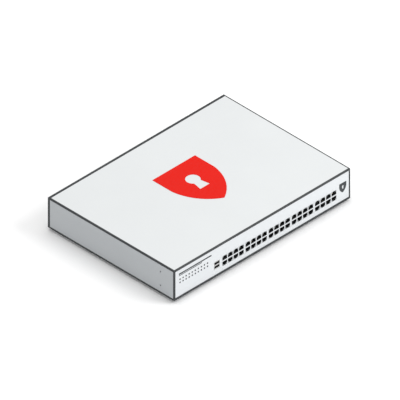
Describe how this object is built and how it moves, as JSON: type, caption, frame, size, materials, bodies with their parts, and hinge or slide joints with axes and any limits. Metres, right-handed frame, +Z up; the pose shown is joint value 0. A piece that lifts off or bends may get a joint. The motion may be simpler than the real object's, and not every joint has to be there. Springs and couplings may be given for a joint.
{
  "type": "firewall appliance",
  "caption": "Slim rack-width firewall appliance with ganged network jacks, status lights, USB stack, cooling fans, mains inlet and rocker switch.",
  "frame": {"origin": "on the floor under the middle of the overall box, between the four feet", "axes": "+X to the appliance's right-hand side seen from the front, +Y to the rear, +Z up"},
  "size_m": [0.445, 0.327, 0.0715],
  "materials": {
    "frame_graphite": "charcoal powder coat on aluminium",
    "panel_white": "fine-textured off-white powder coat",
    "panel_grey": "fine-textured mid-grey powder coat",
    "fascia_white": "fine spark-eroded off-white moulding",
    "port_frame_white": "satin off-white moulding",
    "jack_black": "black glass-filled moulding",
    "shield_tin": "tin-plated sheet",
    "usb_nickel": "nickel-plated sheet",
    "insulator_black": "black moulding",
    "light_pipe_smoke": "smoked clear moulding",
    "badge_red": "satin red enamel",
    "badge_charcoal": "satin charcoal enamel",
    "rubber_black": "moulded rubber",
    "board_green": "solder-masked glass laminate",
    "package_black": "moulded epoxy",
    "heatsink_aluminium": "extruded aluminium",
    "cell_steel": "nickel-plated steel",
    "socket_cream": "high-temperature moulding",
    "capacitor_sleeve": "shrunk sleeve",
    "ferrite_grey": "sintered ferrite",
    "winding_tape": "taped winding",
    "fan_black": "glass-filled moulding",
    "rotor_black": "moulded impeller",
    "inlet_black": "satin moulding",
    "pin_nickel": "nickel-plated brass",
    "rocker_black": "polished moulding",
    "stud_brass": "plated brass",
    "screw_zinc": "zinc-plated steel",
    "support_nylon": "moulded nylon",
    "light_resin": "clear resin",
    "wire_sheath": "extruded sheath",
    "ribbon_grey": "flat cable"
  },
  "bodies": {
    "case": {"front_frame": "frame_graphite", "rear_frame": "frame_graphite", "rail_top_left": "frame_graphite", "rail_top_right": "frame_graphite", "rail_bottom_left": "frame_graphite", "rail_bottom_right": "frame_graphite", "top_cover": "panel_white", "bottom_pan": "panel_grey", "left_side_panel": "panel_grey", "right_side_panel": "panel_grey", "front_fascia": "fascia_white", "rear_panel": "panel_grey", "rubber_feet": "rubber_black", "top_badge": "badge_red", "front_badges": "badge_charcoal", "jack_shields": "shield_tin", "usb_shell": "usb_nickel", "usb_insulators": "insulator_black", "light_pipe_array": "light_pipe_smoke", "status_board": "board_green", "status_lights": "light_resin", "mainboard": "board_green", "psu_board": "board_green", "board_supports": "support_nylon", "processor": "package_black", "processor_heatsink": "heatsink_aluminium", "network_chip": "package_black", "network_heatsink": "heatsink_aluminium", "memory_module": "board_green", "memory_socket": "socket_cream", "coin_cell": "cell_steel", "coin_cell_holder": "socket_cream", "transformer_core": "ferrite_grey", "transformer_winding": "winding_tape", "psu_capacitors": "capacitor_sleeve", "psu_heatsinks": "heatsink_aluminium", "fan_housing_left": "fan_black", "fan_housing_right": "fan_black", "ac_inlet": "inlet_black", "inlet_pins": "pin_nickel", "switch_body": "inlet_black", "ground_stud": "stud_brass", "case_screws": "screw_zinc", "dc_harness": "wire_sheath", "fan_leads": "wire_sheath", "inlet_leads": "wire_sheath", "status_ribbon": "ribbon_grey", "port_frame_1": "port_frame_white", "jack_housing_1": "jack_black", "port_frame_2": "port_frame_white", "jack_housing_2": "jack_black", "port_frame_3": "port_frame_white", "jack_housing_3": "jack_black", "port_frame_4": "port_frame_white", "jack_housing_4": "jack_black", "port_frame_5": "port_frame_white", "jack_housing_5": "jack_black"},
    "fan_impeller_left": {"fan_rotor_left": "rotor_black"},
    "fan_impeller_right": {"fan_rotor_right": "rotor_black"},
    "rocker": {"power_rocker": "rocker_black"}
  },
  "joints": [
    {"name": "fan_left_spin", "type": "hinge", "parent": "case", "child": "fan_impeller_left", "pos_m": [0.03, 0.144, 0.038], "axis": [0, 1, 0], "continuous": true},
    {"name": "fan_right_spin", "type": "hinge", "parent": "case", "child": "fan_impeller_right", "pos_m": [0.09, 0.144, 0.038], "axis": [0, 1, 0], "continuous": true},
    {"name": "power_rocker_tilt", "type": "hinge", "parent": "case", "child": "rocker", "pos_m": [-0.14, 0.1542, 0.038], "axis": [1, 0, 0], "range_deg": [-16, 0]}
  ]
}
